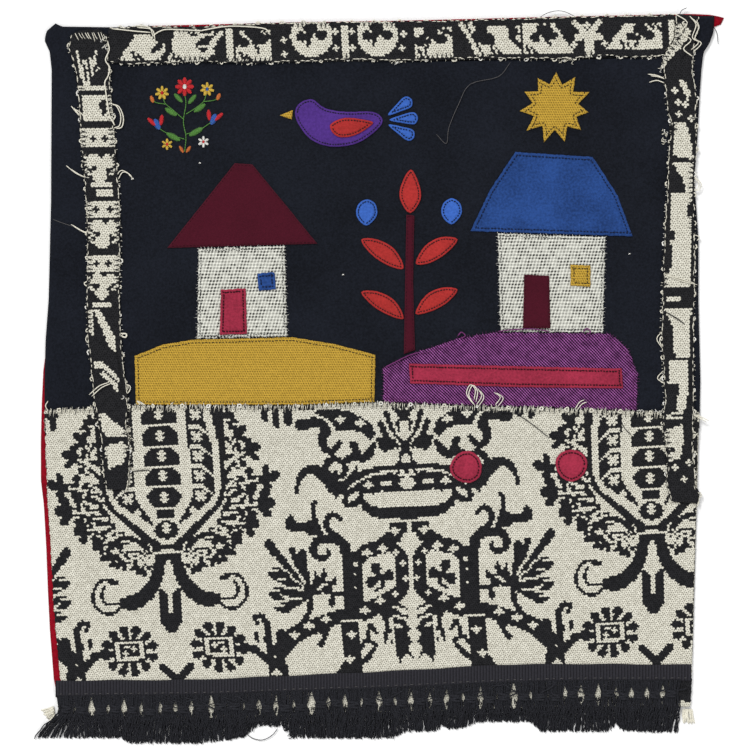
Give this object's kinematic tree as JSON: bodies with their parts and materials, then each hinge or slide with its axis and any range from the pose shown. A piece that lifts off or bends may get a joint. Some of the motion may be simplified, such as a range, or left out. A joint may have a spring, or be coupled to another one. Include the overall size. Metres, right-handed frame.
{
  "type": "arpillera textile",
  "caption": "Flat sewn textile picture: black cloth over a red backing, a black and cream figured panel, matching border strips, sewn-on cloth shapes and a knotted fringe.",
  "frame": {"origin": "centre of the bounding box in X and Y, on the surface that the textile lies on", "axes": "+X to the right and +Y to the top edge of the picture, +Z out of its face"},
  "size_m": [0.5465, 0.5832, 0.0064],
  "materials": {
    "backing_red": "plain woven cloth",
    "ground_black": "smooth fulled wool cloth",
    "figured_cloth": "black and cream figured double cloth",
    "cream_yarn": "cotton yarn ends",
    "tape_black": "ribbed tape",
    "fringe_black": "knotted yarn fringe",
    "felt_mustard": "felted wool",
    "twill_purple": "frayed twill",
    "cloth_pink_red": "plain cloth",
    "felt_maroon": "felted wool",
    "cloth_blue": "fulled wool cloth",
    "scrim_cream": "open scrim",
    "felt_purple": "felted wool",
    "felt_orange_red": "felted wool",
    "felt_bright_blue": "felted wool"
  },
  "bodies": {
    "root": {"backing": "backing_red", "ground": "ground_black", "woven_panel": "figured_cloth", "strip_top": "figured_cloth", "strip_left": "figured_cloth", "strip_right": "figured_cloth", "fringe_tape": "tape_black", "fringe": "fringe_black", "tuft_left": "cream_yarn", "tuft_right": "cream_yarn", "dot_left": "cloth_pink_red", "dot_right": "cloth_pink_red", "field": "felt_mustard", "hill": "twill_purple", "path": "cloth_pink_red", "wall_left": "scrim_cream", "roof_left": "felt_maroon", "door_left": "cloth_pink_red", "window_left": "cloth_blue", "wall_right": "scrim_cream", "roof_right": "cloth_blue", "door_right": "felt_maroon", "window_right": "felt_mustard", "stem": "felt_maroon", "leaf_top": "felt_orange_red", "leaf_left_low": "felt_orange_red", "leaf_left_high": "felt_orange_red", "leaf_right_low": "felt_orange_red", "leaf_right_high": "felt_orange_red", "fruit_left": "felt_bright_blue", "fruit_right": "felt_bright_blue", "sun": "felt_mustard", "bird_body": "felt_purple", "bird_wing": "felt_orange_red", "beak": "felt_mustard", "tail_low": "felt_bright_blue", "tail_middle": "felt_bright_blue", "tail_high": "felt_bright_blue"}
  },
  "joints": []
}
